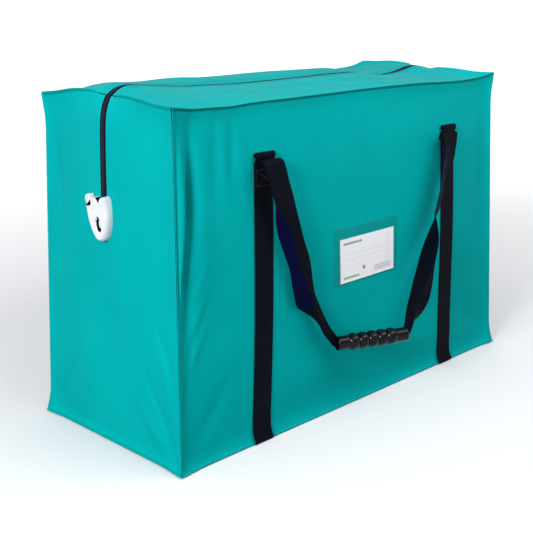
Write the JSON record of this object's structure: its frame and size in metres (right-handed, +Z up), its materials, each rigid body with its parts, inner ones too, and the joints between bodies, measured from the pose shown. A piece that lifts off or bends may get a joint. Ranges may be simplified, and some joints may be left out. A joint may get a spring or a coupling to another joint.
{
  "type": "deposit bag",
  "caption": "Large boxy zipped holdall in coated fabric, with webbing straps, two swinging gripped handles, a label pocket and a sealed zip lock.",
  "frame": {"origin": "bottom centre of the bag's box, on the surface that it stands on", "axes": "+X towards the right end, away from the lock; -Y towards the label side; +Z up"},
  "size_m": [0.78, 0.4824, 0.51],
  "materials": {
    "coated_fabric": "woven polyester with a satin waterproof coating",
    "webbing": "flat woven polypropylene",
    "zip_tape": "knitted tape",
    "zip_teeth": "moulded coil, satin",
    "lock_plastic": "moulded, satin white",
    "rivet_steel": "plain",
    "grip_rubber": "moulded, semi-gloss",
    "clear_film": "clear flexible film",
    "card_stock": "smooth white card"
  },
  "bodies": {
    "bag_body": {"front_panel": "coated_fabric", "back_panel": "coated_fabric", "base_panel": "coated_fabric", "left_end_panel": "coated_fabric", "right_end_panel": "coated_fabric", "left_body_strap": "webbing", "right_body_strap": "webbing", "front_left_anchor": "webbing", "front_right_anchor": "webbing", "rear_left_anchor": "webbing", "rear_right_anchor": "webbing", "zip_left_front_tape": "zip_tape", "zip_left_rear_tape": "zip_tape", "zip_left_front_teeth": "zip_teeth", "zip_left_rear_teeth": "zip_teeth", "zip_right_front_tape": "zip_tape", "zip_right_rear_tape": "zip_tape", "zip_right_front_teeth": "zip_teeth", "zip_right_rear_teeth": "zip_teeth", "zip_end_tab": "webbing", "lock_housing": "lock_plastic", "lock_back_plate": "lock_plastic", "lock_rivet_1": "rivet_steel", "lock_rivet_2": "rivet_steel", "lock_rivet_3": "rivet_steel", "lock_rivet_4": "rivet_steel", "pocket_border": "clear_film", "pocket_window": "clear_film"},
    "front_flap": {"top_front_panel": "coated_fabric", "zip_top_front_tape": "zip_tape", "zip_top_front_teeth": "zip_teeth"},
    "rear_flap": {"top_rear_panel": "coated_fabric", "zip_top_rear_tape": "zip_tape", "zip_top_rear_teeth": "zip_teeth"},
    "front_handle": {"front_handle_webbing": "webbing"},
    "rear_handle": {"rear_handle_webbing": "webbing"},
    "front_grip": {"front_grip": "grip_rubber"},
    "rear_grip": {"rear_grip": "grip_rubber"},
    "zip_slider": {"zip_slider": "zip_teeth", "slider_tongue": "lock_plastic"},
    "seal": {"seal_tag": "lock_plastic"},
    "label": {"label_card": "card_stock"}
  },
  "joints": [
    {"name": "front_handle_swing", "type": "hinge", "parent": "bag_body", "child": "front_handle", "pos_m": [0.006, -0.1675, 0.4235], "axis": [-1, 0, 0], "range_deg": [0, 155]},
    {"name": "rear_handle_swing", "type": "hinge", "parent": "bag_body", "child": "rear_handle", "pos_m": [0.006, 0.1675, 0.4235], "axis": [1, 0, 0], "range_deg": [0, 155]},
    {"name": "front_grip_spin", "type": "hinge", "parent": "front_handle", "child": "front_grip", "pos_m": [-0.017, -0.20602, 0.123], "axis": [0.9157, -0.4019, 0], "continuous": true},
    {"name": "rear_grip_spin", "type": "hinge", "parent": "rear_handle", "child": "rear_grip", "pos_m": [-0.017, 0.20602, 0.123], "axis": [0.9157, 0.4019, 0], "continuous": true},
    {"name": "front_flap_opening", "type": "hinge", "parent": "bag_body", "child": "front_flap", "pos_m": [0.006, -0.155, 0.5086], "axis": [1, 0, 0], "range_deg": [0, 60]},
    {"name": "rear_flap_opening", "type": "hinge", "parent": "bag_body", "child": "rear_flap", "pos_m": [0.006, 0.155, 0.5086], "axis": [-1, 0, 0], "range_deg": [0, 60]},
    {"name": "zip_slider_travel", "type": "slide", "parent": "bag_body", "child": "zip_slider", "axis": [0, 0, 1], "range_m": [0, 0.118]},
    {"name": "seal_removal", "type": "slide", "parent": "bag_body", "child": "seal", "axis": [0, 0.1392, 0.9903], "range_m": [0, 0.02]},
    {"name": "label_removal", "type": "slide", "parent": "bag_body", "child": "label", "axis": [0, 0, 1], "range_m": [0, 0.095]}
  ]
}
